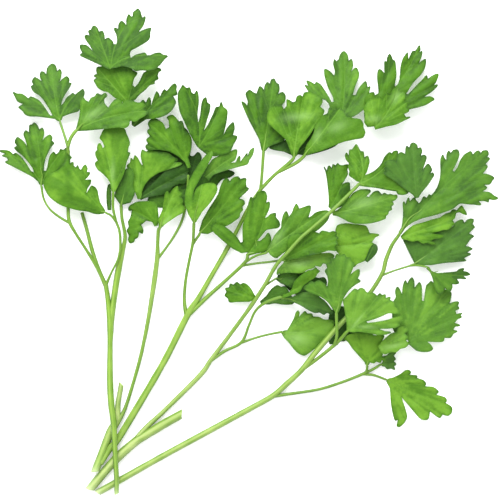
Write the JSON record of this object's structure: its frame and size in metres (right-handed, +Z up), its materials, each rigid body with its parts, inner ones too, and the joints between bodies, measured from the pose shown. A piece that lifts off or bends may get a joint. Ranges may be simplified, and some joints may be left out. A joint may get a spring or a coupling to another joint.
{
  "type": "loose bunch of flat-leaf parsley",
  "caption": "Cut sprigs of flat-leaf parsley fanned out flat on a surface, with bare stalks at one side and toothed green leaves at the other.",
  "frame": {"origin": "middle of the bunch's outline as seen from above, on the surface that it lies on", "axes": "+Z up from the surface, and the stalks run from their cut ends at -X -Y to the leaves at +X and +Y"},
  "size_m": [0.2239, 0.2184, 0.0153],
  "materials": {
    "leaf_green": "soft waxy sheen, fresh mid green",
    "leaf_pale": "satin, pale yellow-green, with lighter veins",
    "leaf_dark": "soft sheen, deep green",
    "stalk_green": "smooth moist sheen, bright yellow-green, with fine lengthwise ridges"
  },
  "bodies": {
    "root": {"leaf_left_low": "leaf_green", "leaf_left_high": "leaf_green", "leaf_top_left": "leaf_green", "leaf_top_left_under": "leaf_pale", "leaf_left_glossy": "leaf_pale", "leaf_left_inner": "leaf_green", "leaf_upright": "leaf_pale", "leaf_dark_behind_upright": "leaf_dark", "leaf_dark_sliver": "leaf_dark", "leaf_dark_underneath": "leaf_dark", "leaf_mid_reaching_up": "leaf_green", "leaf_mid_low": "leaf_pale", "leaf_mid_bright": "leaf_green", "leaf_mid_fan": "leaf_green", "leaf_centre_folded": "leaf_pale", "leaf_centre_serrated": "leaf_pale", "leaf_centre_right": "leaf_green", "leaf_centre_pale_upright": "leaf_pale", "leaf_hanging_bright": "leaf_green", "leaf_trefoil_centre": "leaf_green", "leaf_pale_under_stem": "leaf_pale", "leaf_small_round": "leaf_green", "leaf_folded_strip": "leaf_green", "leaf_dark_drooping": "leaf_dark", "leaf_dark_curled": "leaf_dark", "leaf_dark_inner": "leaf_dark", "leaf_lower_mid": "leaf_pale", "leaf_lower_big_pale": "leaf_pale", "leaf_lower_under_pale": "leaf_green", "leaf_lower_dark": "leaf_dark", "leaf_lower_right": "leaf_green", "leaf_right_dark": "leaf_dark", "leaf_right_small": "leaf_green", "leaf_right_big": "leaf_green", "leaf_right_bright": "leaf_pale", "leaf_right_dark_fan": "leaf_dark", "leaf_top_centre": "leaf_green", "leaf_top_wedge": "leaf_pale", "leaf_top_big_pale": "leaf_pale", "leaf_top_trefoil": "leaf_green", "leaf_top_right": "leaf_green", "leaf_dark_under_stem": "leaf_green", "leaf_pale_under_stem_low": "leaf_pale", "leaf_yellow_behind": "leaf_pale", "leaf_lower_upright": "leaf_green", "leaf_left_of_stem": "leaf_green", "leaf_yellow_dark_tip": "leaf_pale", "leaf_big_round_pale": "leaf_pale", "leaf_lower_right_fan": "leaf_green", "leaf_lower_pale_overlap": "leaf_pale", "stalk_a": "stalk_green", "stalk_b": "stalk_green", "stalk_c": "stalk_green", "stalk_d": "stalk_green"}
  },
  "joints": []
}
